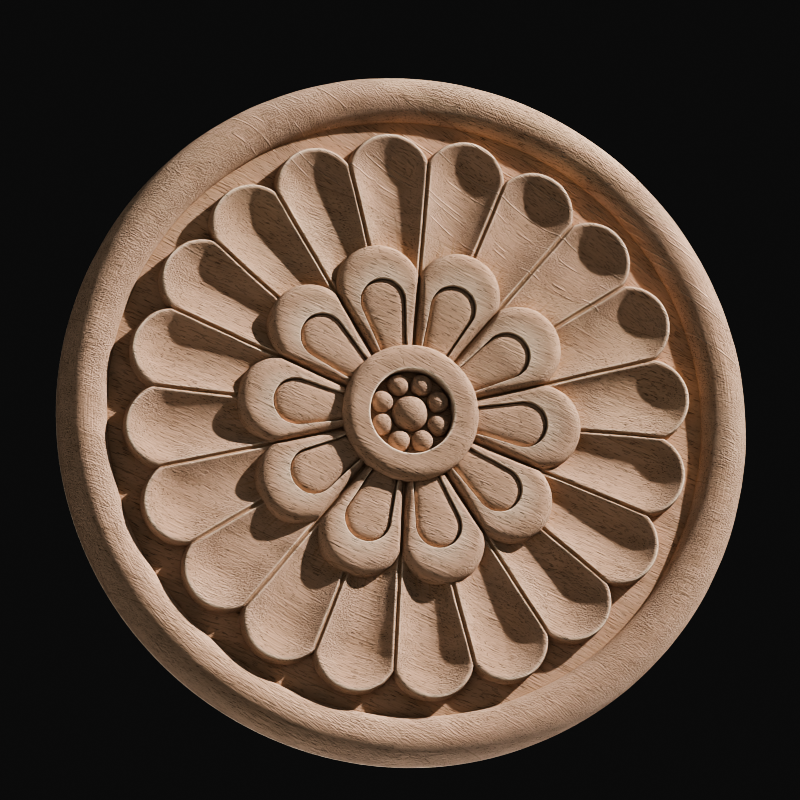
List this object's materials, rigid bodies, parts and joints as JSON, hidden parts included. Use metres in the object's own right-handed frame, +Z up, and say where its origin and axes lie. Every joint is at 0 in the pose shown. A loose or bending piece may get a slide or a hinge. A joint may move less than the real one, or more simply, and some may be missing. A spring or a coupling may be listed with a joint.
{
  "type": "carved wooden rosette",
  "caption": "Round carved wooden rosette: half-round rim, wheel of cupped petals, smaller wheel of raised petals with teardrop buttons, and a beaded boss.",
  "frame": {"origin": "centre of the flat back, on the plane that is glued or screwed to a wall, door or ceiling", "axes": "+Y is the back face's outward normal, into the wall; the carving faces -Y; +Z is up in the picture and +X is to the viewer's right"},
  "size_m": [0.32, 0.0196, 0.32],
  "materials": {
    "carved_wood": "raw unfinished pale hardwood, matt, with fine dark pores"
  },
  "bodies": {
    "root": {"rosette": "carved_wood"}
  },
  "joints": []
}
